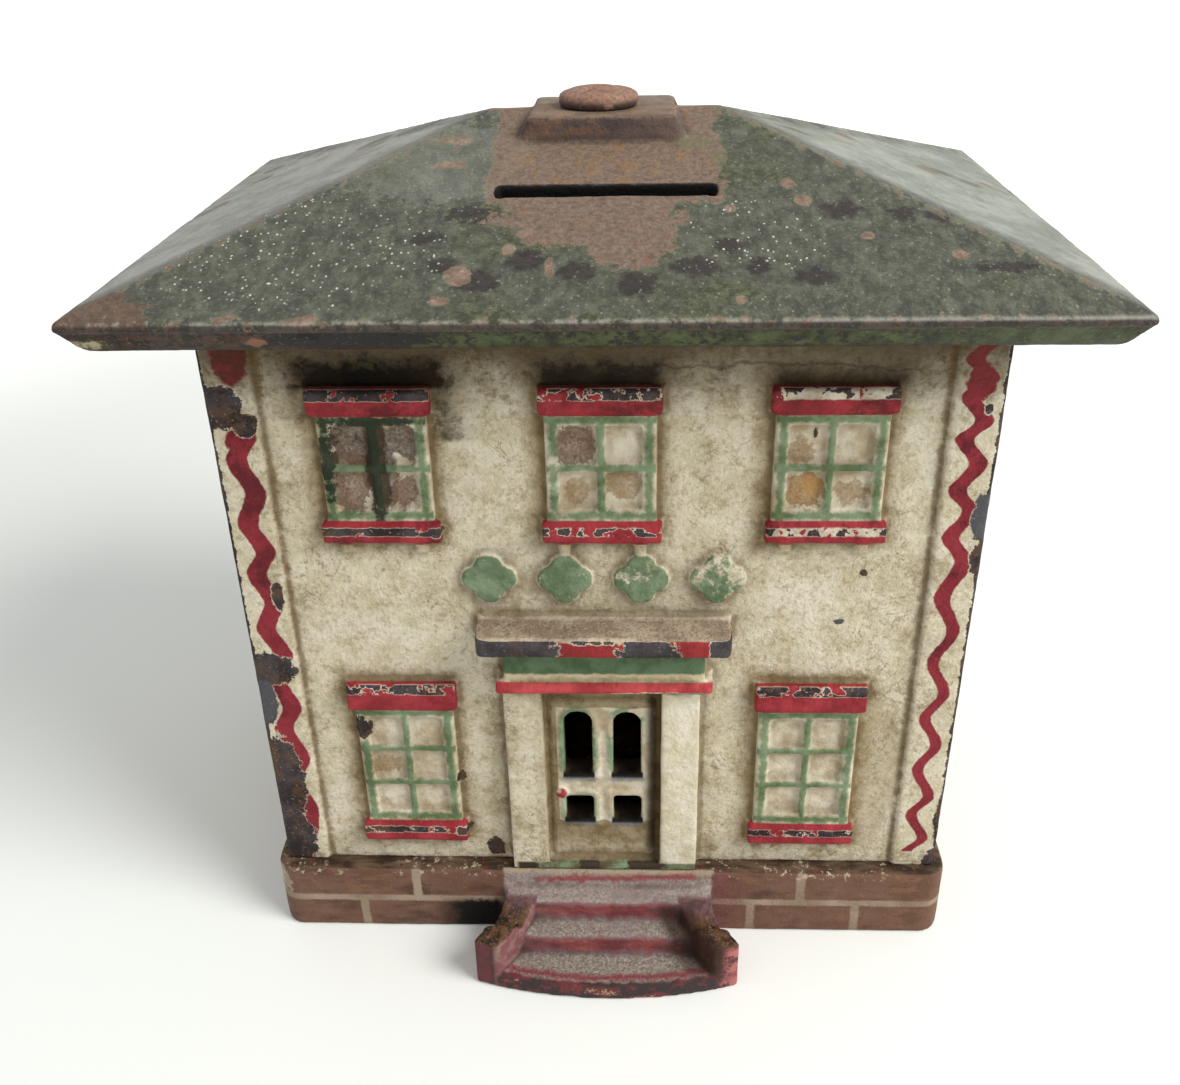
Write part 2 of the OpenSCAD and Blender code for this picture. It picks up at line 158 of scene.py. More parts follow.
class Wiring:
    """The nodes of one material, or of the room's light."""

    def __init__(self, owner):
        owner.use_nodes = True
        self.tree = owner.node_tree

    def node(self, kind, settings, inputs, output=0):
        """Adds a node, sets it up, fills or links its sockets, and gives the tone it puts out."""
        made = self.tree.nodes.new(kind)
        stops = settings.get("stops", ())
        for key, value in settings.items():
            if key != "stops":
                setattr(made, key, value)
        if stops:
            made.color_ramp.interpolation = "EASE"
        for i, (place, level) in enumerate(stops):
            stop = made.color_ramp.elements[i] if i < 2 else made.color_ramp.elements.new(place)
            stop.position = place
            stop.color = (level, level, level, 1)
        for key, value in inputs.items():
            if isinstance(value, Tone):
                self.tree.links.new(value.socket, made.inputs[key])
            else:
                made.inputs[key].default_value = value
        return Tone(self, made.outputs[output])

    def vector(self, operation, *values, output=0):
        settings = {"operation": operation}
        return self.node("ShaderNodeVectorMath", settings, dict(enumerate(values)), output)


class Finish(Wiring):
    """A material under way. Its place is in millimetres from the point centre, turned about Z, and
    its mottle is what mixes the two colours of one coat."""

    def __init__(self, name, seed=0, centre=(0, 0, 0), turn=0.0):
        self.material = bpy.data.materials.new(name)
        super().__init__(self.material)
        self.shader = self.tree.nodes["Principled BSDF"]
        origin = Matrix.Rotation(turn, 3, "Z") @ Vector(centre)
        self.place = self.node(
            "ShaderNodeMapping",
            {},
            {
                "Vector": self.node("ShaderNodeTexCoord", {}, {}, "Object"),
                "Location": -1000 * origin,
                "Rotation": (0, 0, turn),
                "Scale": (1000, 1000, 1000),
            },
        )
        self.seed = seed
        self.mottle = self.cloud(3.4, seed, detail=4, rough=0.62).rise(0.36, 0.64)

    def axes(self):
        return [self.node("ShaderNodeSeparateXYZ", {}, {0: self.place}, axis) for axis in "XYZ"]

    def moved(self, seed, stretch):
        """The place stretched, and moved so far that no two seeds show the same pattern."""
        apart = (seed * 17.3, seed * 9.1, seed * 5.7)
        return self.vector("MULTIPLY_ADD", self.place, stretch, apart)

    def cloud(self, size, seed=0, detail=3.0, rough=0.55, twist=0.0, stretch=(1, 1, 1)):
        """Noise about 0.5, with blotches about size millimetres across."""
        return self.node(
            "ShaderNodeTexNoise",
            {},
            {
                "Vector": self.moved(seed, stretch),
                "Scale": 1 / size,
                "Detail": detail,
                "Roughness": rough,
                "Distortion": twist,
            },
        )

    def cells(self, size, seed=0, stretch=(1, 1, 1)):
        """Distance from the middle of cells, as a share of size, their millimetres across."""
        values = {"Vector": self.moved(seed, stretch), "Scale": 1 / size}
        return self.node("ShaderNodeTexVoronoi", {}, values, "Distance")

    def held(self, name):
        """A value that the piece's own mesh holds."""
        return self.node("ShaderNodeAttribute", {"attribute_name": name}, {}, "Fac")

    def spot(self, middle, size, ragged, blur=0.2):
        """A round ragged spot, such as a chip or a stain: 1 inside and 0 outside."""
        shares = [2 / part for part in size]
        shift = [-place * share for place, share in zip(middle, shares)]
        grown = self.vector("MULTIPLY_ADD", self.place, shares, shift)
        far = self.vector("LENGTH", grown, output="Value")
        return ((far - 1) * (min(size) / 2) + ragged).rise(blur, -blur)

    def lay(self, under, where, code, other=None):
        """Lays a coat over the colours under it; a coat of two colours is mottled."""
        return where.mix(under, self.mottle.mix(tint(code), tint(other)) if other else tint(code))

    def done(self, base, rough, metal, height, depth, gloss=0.5):
        """Joins colour, roughness, metal and height, whose depth is in millimetres."""
        self.shader.inputs["Specular IOR Level"].default_value = gloss
        bumped = self.node("ShaderNodeBump", {}, {"Height": height, "Distance": depth / 1000})
        joined = {"Base Color": base, "Roughness": rough, "Metallic": metal, "Normal": bumped}
        for key, value in joined.items():
            self.tree.links.new(value.socket, self.shader.inputs[key])
        return self.material


def tint(code):
    """A colour from its six-figure code, as the shader takes it."""
    parts = [int(code[i : i + 2], 16) / 255 for i in (0, 2, 4)]
    return tuple(p / 12.92 if p <= 0.04045 else ((p + 0.055) / 1.055) ** 2.4 for p in parts) + (1,)


def white_table():
    """White; far from the bank the camera sees it a little lighter, so it has no edge."""
    top = Finish("white table", 1)
    seen = top.node("ShaderNodeLightPath", {}, {}, "Is Camera Ray")
    away = top.vector("LENGTH", top.place, output="Value").rise(200, 380)
    top.shader.inputs["Base Color"].default_value = tint("f3f5ef")
    top.shader.inputs["Roughness"].default_value = 0.9
    top.shader.inputs["Specular IOR Level"].default_value = 0.2
    lighter = {"Color": tint("ffffff"), "Strength": seen * away.between(0.05, 0.5)}
    glow = top.node("ShaderNodeEmission", {}, lighter, "Emission")
    whole = top.node("ShaderNodeAddShader", {}, {0: glow, 1: Tone(top, top.shader.outputs[0])})
    top.tree.links.new(whole.socket, top.tree.nodes["Material Output"].inputs["Surface"])
    return top.material


sheet = bmesh.new()
bmesh.ops.create_grid(sheet, x_segments=2, y_segments=2, size=table_size / 2)
table = bpy.data.objects.new("table", bpy.data.meshes.new("table"))
sheet.to_mesh(table.data)
sheet.free()
table.data.materials.append(white_table())
scene.collection.objects.link(table)
table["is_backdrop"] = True

room = bpy.data.worlds.new("room")
scene.world = room
room_light = Wiring(room)
background = room_light.tree.nodes["Background"]
background.inputs["Color"].default_value = tint("fcfdff")
seen = room_light.node("ShaderNodeLightPath", {}, {}, "Is Camera Ray")
mirrored = room_light.node("ShaderNodeLightPath", {}, {}, "Is Glossy Ray")
levels = {"Value": seen | mirrored, "To Min": room_level, "To Max": 1}
strength = room_light.node("ShaderNodeMapRange", {}, levels)
room_light.tree.links.new(strength.socket, background.inputs["Strength"])

window = bpy.data.lights.new("window", "AREA")
window.shape = "DISK"
window.size = window_size
window.energy = window_power
window_lamp = bpy.data.objects.new("window", window)
window_lamp.location = window_place
window_lamp.rotation_euler = Vector(window_place).to_track_quat("Z", "Y").to_euler()
scene.collection.objects.link(window_lamp)

# ---- Plinth and steps ----
# One grey iron casting, hollow beneath, with three treads between flaring cheek walls. It is
# painted as red brick with pale joints; the steps are red with sanded grey treads, worn dark at
# their edges.
house_y = 1.875
plinth_half_w, plinth_half_d, plinth_top = 46.45, 32.55, 10.9
brick_l, joint_z, low_joint_x, high_joint_x = 14.5, 5.45, 5.4, 12.15
steps_half, steps_flare, steps_out, steps_bow_r, cheek_w = 14, 6.3, 12.5, 59, 4.3
fine_grain, coarse_grain, grain_deep = 0.0014, 0.009, 0.00009


def sand_cast(name, node, voxel, faces, body, softness=3):
    """A merged copy of a solid as it comes out of the sand: soft edges and a pebbled skin. Voxel
    and grain are metres. Its mesh keeps, in millimetres, how far each point stands out close by
    (edge) and widely (hollow), and how level the skin lies there (level)."""
    shape = bmesh.new()
    shape.from_mesh(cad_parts[node].data)
    bmesh.ops.remove_doubles(shape, verts=shape.verts, dist=1e-6)
    piece = bpy.data.objects.new(name, bpy.data.meshes.new(name))
    shape.to_mesh(piece.data)
    shape.free()
    scene.collection.objects.link(piece)

    def as_shown():
        bpy.context.view_layer.update()
        return piece.evaluated_get(bpy.context.evaluated_depsgraph_get())

    def settle():
        ready = bpy.data.meshes.new_from_object(as_shown())
        piece.modifiers.clear()
        piece.data = ready

    def rub(times):
        wash = piece.modifiers.new("wash", "SMOOTH")
        wash.iterations = times

    def read(mesh, key):
        flat = np.zeros(len(mesh.vertices) * 3, np.float32)
        mesh.vertices.foreach_get(key, flat)
        return flat.reshape(-1, 3)

    sand = piece.modifiers.new("sand", "REMESH")
    sand.mode = "VOXEL"
    sand.voxel_size = voxel
    rub(softness)
    for size, deep in ((fine_grain, grain_deep), (coarse_grain, grain_deep * 2)):
        grain = bpy.data.textures.new(f"{name}_grain", "CLOUDS")
        grain.noise_scale = size
        push = piece.modifiers.new("grain", "DISPLACE")
        push.texture = grain
        push.texture_coords = "LOCAL"
        push.mid_level = 0.5
        push.strength = deep
    settle()
    thin = piece.modifiers.new("thin", "DECIMATE")
    thin.ratio = min(1, faces / (2 * len(piece.data.polygons)))
    settle()
    inside = np.clip(read(piece.data, "co"), *(np.array(corner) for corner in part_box(node)))
    piece.data.vertices.foreach_set("co", inside.astype(np.float32).ravel())
    piece.data.update()
    normals = read(piece.data, "normal")
    found = {"level": normals[:, 2]}
    for key, times in (("edge", 8), ("hollow", 60)):
        rub(times)
        found[key] = ((inside - read(as_shown().to_mesh(), "co")) * normals).sum(1) * 1000
        piece.modifiers.clear()
    for key, values in found.items():
        kept = piece.data.attributes.new(key, "FLOAT", "POINT")
        kept.data.foreach_set("value", values.astype(np.float32))
    piece.data.shade_smooth()
    piece.data.materials.clear()
    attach(piece, body)
    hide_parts(node)
    return piece


def brick_and_stair_paint():
    paint = Finish("brick and stair paint", 2, centre=(0, house_y / 1000, 0))
    x, y, z = paint.axes()
    level, edge, hollow = paint.held("level"), paint.held("edge"), paint.held("hollow")
    speck = paint.cloud(0.34, 3, detail=3, rough=0.6)
    ragged = paint.cloud(1.6, 4, detail=5, rough=0.65) - 0.5
    broad = paint.cloud(7, 5, detail=3)
    streak = paint.cloud(1.4, 6, detail=3, stretch=(0.3, 1, 1))

    # bricks and joints
    front = (abs(y) - plinth_half_d - abs(x) + plinth_half_w).rise(-0.2, 0.2)
    along = abs(x) * front + abs(y) * (1 - front)
    head_low = abs(along.repeated(brick_l, low_joint_x))
    head_high = abs(along.repeated(brick_l, high_joint_x))
    upper = z.rise(joint_z - 0.05, joint_z + 0.05)
    bed = (abs(z - joint_z) + ragged * 0.5).rise(0.72, 0.36)
    head = (head_high * upper + head_low * (1 - upper)) + ragged * 0.6
    head = head.rise(0.75, 0.4) * along.rise(40.4, 37)
    brick = broad.rise(0.35, 0.65).mix(tint("664938"), tint("7b5c4c"))
    brick = streak.rise(0.45, 0.7).mix(brick, tint("86614b"))
    brick = ((broad * 0.5 + streak * 0.5).rise(0.46, 0.64) * 0.75).mix(brick, tint("46322a"))
    brick = speck.rise(0.6, 0.8).mix(brick, tint("94705c"))
    mortar = broad.rise(0.3, 0.7).mix(tint("86745f"), tint("a89480"))
    colour = ((bed | head) * ragged.rise(-0.3, -0.12) * 0.92).mix(brick, mortar)
    pale_corner = paint.spot((-46, -31, 8), (3.4, 6, 5), ragged * 3)
    colour = paint.lay(colour, pale_corner * 0.8, "a0937e", "bcb096")
    # near black on the bricks left of the steps, darkest at the foot beside the left cheek
    dark_by_left_cheek = (x + ragged * 4).near(-18, 3, 7) * (z + ragged * 2.4).rise(6, 4.4)
    dark_by_left_cheek = dark_by_left_cheek * front * y.rise(0, -1)
    colour = dark_by_left_cheek.rise(0, 0.6).mix(colour, tint("120c0a"))
    bled = (x + ragged * 6).near(15, 0.8, 4.4) * front * (y * -1).rise(0, 1)
    colour = (bled * 0.66).mix(colour, tint("7c4450"))

    # ledge and upper arris, with crumbs of the walls' paint
    ledge = level.rise(0.5, 0.85) * z.rise(plinth_top - 0.9, plinth_top - 0.3)
    colour = (ledge * 0.9).mix(colour, streak.rise(0.36, 0.64).mix(tint("2f241c"), tint("65523f")))
    crumb = paint.cloud(0.9, 7, detail=3, rough=0.7)
    where = z.near(plinth_top - 0.45, 0.7, 0.4) * broad.rise(0.42, 0.54)
    colour = (crumb.rise(0.56, 0.64) * where * 0.85).mix(colour, tint("bdb094"))
    colour = (crumb.rise(0.42, 0.36) * where * 0.7).mix(colour, tint("7c3a34"))

    # steps: red risers, sanded grey treads, and what the brush left between them
    out = (-1 * y - plinth_half_d) | 0
    share = out * (1 / steps_out)
    half = share * share * steps_flare + steps_half
    stair = (half + 0.6 - abs(x) + ragged * 0.8).rise(0, 0.4)
    stair = stair * (-1 * y - plinth_half_d).rise(-0.7, -0.4)
    middle = abs(x + ragged * 14).rise(12, 3)
    riser = streak.rise(0.4, 0.65).mix(tint("5c393a"), tint("754a49"))
    bright = streak.rise(0.4, 0.6).mix(tint("723638"), tint("90433f"))
    riser = (middle * 0.68).mix(riser, bright)
    riser = (middle * streak.rise(0.6, 0.68) * out.rise(2, 4) * 0.5).mix(riser, tint("b07a56"))
    grit = speck.rise(0.3, 0.7).mix(tint("6a6158"), tint("a89e91"))
    grit = (speck.rise(0.66, 0.76) * 0.7).mix(grit, tint("cfc6b8"))
    grit = (z.rise(6.5, 8) * 0.3).mix(grit, tint("b9a7a2"))
    grit = (ragged.rise(0.0, 0.14) * 0.4).mix(grit, tint("6f625a"))
    grit = (broad.rise(0.42, 0.62) * 0.4).mix(grit, tint("8d7b79"))
    flat = (level | out.rise(1.6, 0.8)) + ragged * 1.3
    steps = flat.rise(0.15, 0.75).mix(riser, tint("7f5f62"))
    steps = flat.rise(0.6, 0.96).mix(steps, grit)
    bow = x * x * (0.5 / steps_bow_r) + out + ragged * 1.5
    low_tread = z.rise(3.4, 3)
    steps = (bow.near(11.2, 0.5, 0.6) * low_tread * 0.85).mix(steps, tint("7a2634"))
    front_edge = streak.rise(0.46, 0.6).mix(tint("3a2f2d"), tint("6b2f34"))
    steps = (bow.rise(11.7, 12.2) * low_tread).mix(steps, front_edge)
    cream_line = (z + ragged * 1.6).near(plinth_top - 0.2, 0.25, 0.25)
    steps = (cream_line * 0.85).mix(steps, tint("a08f70"))
    red_line = (z + ragged * 2 + x * -0.03).near(plinth_top - 1.3, 0.5, 0.4)
    red_line = red_line * abs(x + ragged * 14 - 2).rise(13.5, 9)
    steps = (red_line * 0.85).mix(steps, tint("8f3f3f"))

    # cheek walls
    inner = abs(x) - half + cheek_w
    cheek = inner.rise(-0.5, -0.1) * out.rise(1.2, 2.6)
    post = (out + ragged * 4 + x * -0.05).rise(3, 5.2)
    mauve = ragged.rise(-0.12, 0.15).mix(tint("523c3b"), tint("7a5559"))
    rust = ragged.rise(-0.12, 0.12).mix(tint("2b201a"), tint("65472f"))
    rust = speck.rise(0.56, 0.7).mix(rust, tint("87705c"))
    # the cheeks' red is lighter on the right: a painted highlight from the light on the right
    cheek_red_lit_right = x.rise(-2, 2).mix(tint("6c3a3d"), tint("b26a66"))
    cheek_red_lit_right = (streak.rise(0.44, 0.6) * 0.5).mix(cheek_red_lit_right, tint("5a3336"))
    cheek_side = (ragged + speck * 0.2 - 0.1).rise(0.0, 0.12).mix(cheek_red_lit_right, tint("4c3836"))
    cheek_side = ((inner + ragged * 5).rise(1.8, 0.4) * 0.8).mix(cheek_side, tint("2e2523"))
    cheek_tone = (level + ragged * 0.3).rise(0.3, 0.6).mix(cheek_side, post.mix(mauve, rust))
    steps = cheek.mix(steps, cheek_tone)
    inside = cheek * inner.rise(1.1, 0.3) * level.rise(0.75, 0.4)
    pink = ragged.rise(-0.1, 0.1).mix(tint("875355"), tint("967772"))
    steps = (inside * x.rise(1, -1) * 0.8).mix(steps, pink)
    # painted shadow on the inner face of the right cheek
    right_cheek_shadow = inner.near(-0.6, 2.4, 1) * x.rise(0, 2) * z.rise(9, 7) * z.rise(2.2, 3.4)
    right_cheek_shadow = right_cheek_shadow * out.rise(1.5, 3.5)
    steps = (right_cheek_shadow * ragged.rise(-0.3, -0.05) * 0.85).mix(steps, tint("35231b"))
    lip = z.rise(2.6, 2.1) * out.rise(7, 9) * level.rise(0.75, 0.5) * inner.rise(0.8, 0)
    lip_worn = (ragged + streak * 0.3).rise(0.24, 0.14).mix(tint("6e3638"), tint("3d3433"))
    lip_worn = (streak * 0.6 + speck * 0.4).rise(0.59, 0.63).mix(lip_worn, tint("a08a70"))
    steps = lip.mix(steps, lip_worn)
    colour = stair.mix(colour, steps)

    # wear along the edges, and dirt and painted shade in the corners
    bare = (edge + ragged * 0.16).rise(0.13, 0.2) * (1 - stair * z.rise(2.4, 3))
    metal_tone = speck.rise(0.4, 0.6).mix(tint("3c3331"), tint("5d4e43"))
    colour = (bare * 0.85).mix(colour, metal_tone)
    dirt_and_shade = hollow.rise(-0.1, -0.5)
    colour = (dirt_and_shade * 0.7).mix(colour, tint("261b14"))
    height = speck * 0.6 + ragged * 1.4 + streak * 0.4
    return paint.done(colour, speck.between(0.5, 0.7), bare * 0.3, height, 0.16, gloss=0.15)


plinth = sand_cast("plinth_casting", "plinth", 0.00035, 150000, "bank", softness=13)
plinth.data.materials.append(brick_and_stair_paint())

# ---- Walls ----
# Four grey iron castings, three millimetres thick, stand on the ledge and hold each other by ribs
# in the corners. All windows are blind; only the door's four lights are open. They are painted
# ivory, with red hoods, sills and waves and green glazing bars, by hand and with a full brush.
wall_h, wall_half_w, wall_half_d, wall_t = 79.6, 44.7, 30.8, 3
pilaster_w, pilaster_out = 5.6, 0.6
bay, side_bay = 26.07, 25.2
sash_half, hood_half, frame_line = 6.3, 7.0, 5.5
low_window = {
    "sill": (4.4, 7.7),
    "sash": (7.7, 26.5),
    "hood": (26.5, 30.5),
    "bars": (8.5, 14.3, 19.9, 25.8),
}
high_window = {
    "sill": (51, 53.8),
    "sash": (53.8, 67.4),
    "hood": (67.4, 70.6),
    "bars": (54.6, 60.6, 66.7),
}
lip_z, lip_half_w = 31.3, 14
frieze_z, frieze_half_w = 34.9, 12.8
canopy_z, canopy_half_w = 38.9, 16.1
flower_z, flowers_half_w = 45.1, 18
door_off, door_post_x, door_post_half_w, door_post_top = 0.4, 10.1, 2.4, 30.4
light_pitch, light_w, arched_light, square_light = 6.4, 3.7, (15.7, 26), (7.9, 12)
# The painted waves turn back at these heights.
left_turns = (
    0, 9, 14, 18, 22.8, 26.2, 31, 34.5, 38.5, 42.3, 46.3, 49.4, 53.2, 57.2, 61.6, 64.6, 70
)
right_turns = (
    2.5, 5, 9.2, 12.3, 16.8, 21, 25.2, 29, 33.8, 38.3, 43.2,
    48.2, 51.5, 54.8, 57.6, 61, 64, 66.2, 69.2, 71.2, 73.5, 76,
)


class WallPaint(Finish):
    """The paint of one wall: ivory, then red and green by hand, then what years of hands, soot and
    damp have done to it, and painted shade round the windows, in the hollows and under the eaves.
    Its place is across, inwards and up from the foot of its pilasters."""

    def __init__(self, name, seed, centre, turn, half_w, pitch, start):
        super().__init__(name, seed, centre, turn)
        self.half_w = half_w
        self.x, self.y, self.z = self.axes()
        self.out = pilaster_out - self.y
        self.u = self.x.repeated(pitch, start)
        self.hollow = self.held("hollow")
        self.ragged = self.cloud(1.3, seed + 1, detail=5, rough=0.68) - 0.5
        self.broad = self.cloud(10, seed + 2, detail=5, rough=0.62)
        self.speck = self.cloud(0.34, seed + 3, detail=2)
        self.plain = (half_w - abs(self.x)).rise(6.2, 6.4)
        self.soot = 0
        self.ivory()
        self.windows()

    def coat(self, where, code, other=None):
        self.colour = self.lay(self.colour, where, code, other)

    def ivory(self):
        self.colour = self.mottle.mix(tint("c5b99c"), tint("d5cbb4"))
        self.coat(self.broad.rise(0.5, 0.64) * 0.6, "dad1bd")
        self.grime = self.cloud(5.5, self.seed + 4, detail=6, rough=0.78)
        self.coat(self.grime.rise(0.48, 0.7) * 0.38, "8d7956")
        self.coat(self.ragged.rise(0.02, 0.16) * 0.42, "8a7550")
        wrinkle = abs(self.cloud(4.2, self.seed + 5, detail=4, rough=0.6, twist=0.8) - 0.5)
        self.coat(wrinkle.rise(0.014, 0.003) * self.broad.rise(0.5, 0.42) * 0.5, "5c4829")
        grain = self.cloud(0.7, self.seed + 9, detail=4, rough=0.8)
        self.coat(grain.rise(0.53, 0.68) * 0.46, "87744f")
        self.coat(grain.rise(0.46, 0.34) * 0.5, "e4dcc8")
        self.coat(self.speck.rise(0.6, 0.74) * 0.42, "8b7851")

    def windows(self):
        z, out, ragged, across = self.z, self.out, self.ragged, abs(self.u)
        shades, panes, greens, reds, noses = [], [], [], [], []
        for window in (high_window, low_window):
            foot, top = window["sill"][0], window["hood"][1]
            beside = (across - hood_half) | (abs(z - (foot + top) / 2) - (top - foot) / 2)
            shades.append((beside + ragged * 5 + self.u * 0.05).rise(2.6, -0.8))
            low, high = window["sash"]
            inside = z.near((low + high) / 2, (high - low) / 2, 0.1)
            inside = inside * across.rise(sash_half + 0.2, sash_half)
            panes.append(inside)
            lines = across & abs(across - frame_line)
            for bar in window["bars"]:
                lines = lines & abs(z - bar)
            raised = (out + ragged * 0.4).rise(0.4, 0.8)
            greens.append((lines + ragged * 1.3).rise(0.85, 0.2) * inside * raised)
            for part, middle, half in (("sill", 1.05, 0.55), ("hood", 0.2, 1.1)):
                low, high = window[part]
                body = z.near((low + high) / 2, (high - low) / 2 + 0.2, 0.1)
                body = body * across.rise(hood_half + 0.4, hood_half + 0.1)
                reds.append(body * out.rise(0.35, 0.7))
                nose = (z + ragged * 0.7).near(high - middle, half, 0.12)
                noses.append(nose * body * out.rise(1, 1.4))
        shade = reduce(operator.or_, shades) * self.plain
        self.coat(shade * 0.72, "745e3a", "8d7850")
        pier = across.rise(9, 12) * (1 - self.broad).rise(0.4, 0.56) * 0.6
        soiled = shade | (z + self.broad * 6).rise(8, 2) | pier
        self.coat(soiled * (self.grime + ragged * 0.4).rise(0.48, 0.62) * 0.7, "6f5a38", "85704a")
        self.pane_at = reduce(operator.or_, panes) * self.plain
        self.green_at = reduce(operator.or_, greens) * self.plain * self.broad.rise(0.3, 0.42)
        self.red_at = reduce(operator.or_, reds) * self.plain
        self.nose_at = reduce(operator.or_, noses) * self.plain
        self.coat(self.pane_at * 0.85, "bcab8e", "e2d9c4")

    def wave(self, x, middle, swing, width, turns):
        """A brush stroke that swings left and right of middle and turns back at these heights."""
        stops = [(height / wall_h, i % 2) for i, height in enumerate(turns)]
        path = self.node("ShaderNodeValToRGB", {"stops": stops}, {"Fac": self.z * (1 / wall_h)})
        off = abs(x - middle - (path - 0.5) * (2 * swing)) - width * 0.5 + self.ragged * 0.7
        return off.rise(0.12, -0.12) * self.z.rise(turns[0], turns[0] + 0.3) * self.out.rise(1.2, 1)

    def under_eaves(self):
        # soot and painted shade, darker up towards the eaves and weaker on the red
        soot_and_shade = (self.z + self.ragged * 9 + self.broad * 7).rise(70, 79)
        self.coat(soot_and_shade * self.red_at.between(0.85, 0.4), "4a3719")

    def worn(self, chips, cold, dark_nose):
        """Chips show pale primer and then dark iron, and dirt and painted shade fill the corners,
        with a painted shade line along the pilasters' inner edges. The inside is bare iron."""
        x, out, ragged, speck = self.x, self.out, self.ragged, self.speck
        corner = (abs(x) - self.half_w + ragged * 1.4).rise(-0.5, -0.3)
        corner = corner * (self.y + ragged * 2).rise(1.1, 0.7)
        blots = self.cloud(1.7, self.seed + 6, detail=4)
        nose = self.nose_at * (blots + abs(dark_nose) * 0.8).rise(0.44, 0.47)
        self.coat(nose, "a99a86", "d5cab4")
        bare = chips | corner | nose.rise(0.6, 0.9) * (blots + dark_nose).rise(0.47, 0.5)
        self.coat(bare.rise(0.05, 0.3), "a89a84", "cfc4ad")
        iron = self.mottle.mix(tint("2f2727"), tint("4b4345"))
        iron = (self.grime.rise(0.5, 0.6) * (1 - cold) * 0.8).mix(iron, tint("5d4533"))
        iron = (cold * 0.7).mix(iron, tint("5a5a5e"))
        iron = speck.rise(0.62, 0.76).mix(iron, tint("857c74"))
        bare = (bare + ragged * 0.4).rise(0.5, 0.66)
        self.colour = bare.mix(self.colour, iron)
        # dirt and painted shade in the hollows, weaker on the panes and none under the soot
        dirt_and_shade = (self.hollow + ragged * 0.35).rise(0.0, -0.26) * out.rise(8, 6)
        self.coat(dirt_and_shade * self.pane_at.between(0.66, 0.3) * (1 - self.soot), "4f3b20", "6d5633")
        # a patchy painted shade line in the groove along the pilasters' inner edges
        pilaster_groove_shade = abs(abs(x) - self.half_w + pilaster_w + 0.5 + ragged * 1.2).rise(0.7, 0.1)
        self.coat(pilaster_groove_shade * self.grime.rise(0.36, 0.5) * out.rise(0.9, 0.7) * 0.6, "5b4422")
        self.coat(self.y.rise(0.9, 1.8) * (self.half_w - abs(x)).rise(0.15, 0.4), "2c241e")
        skin = self.cloud(0.8, self.seed + 7, detail=5, rough=0.62)
        height = skin * 1.3 + speck * 0.3 + self.mottle * 0.3
        rough = (self.red_at | bare).between(0.62, 0.42)
        return self.done(self.colour, rough, bare * 0.25, height, 0.2, gloss=0.1)


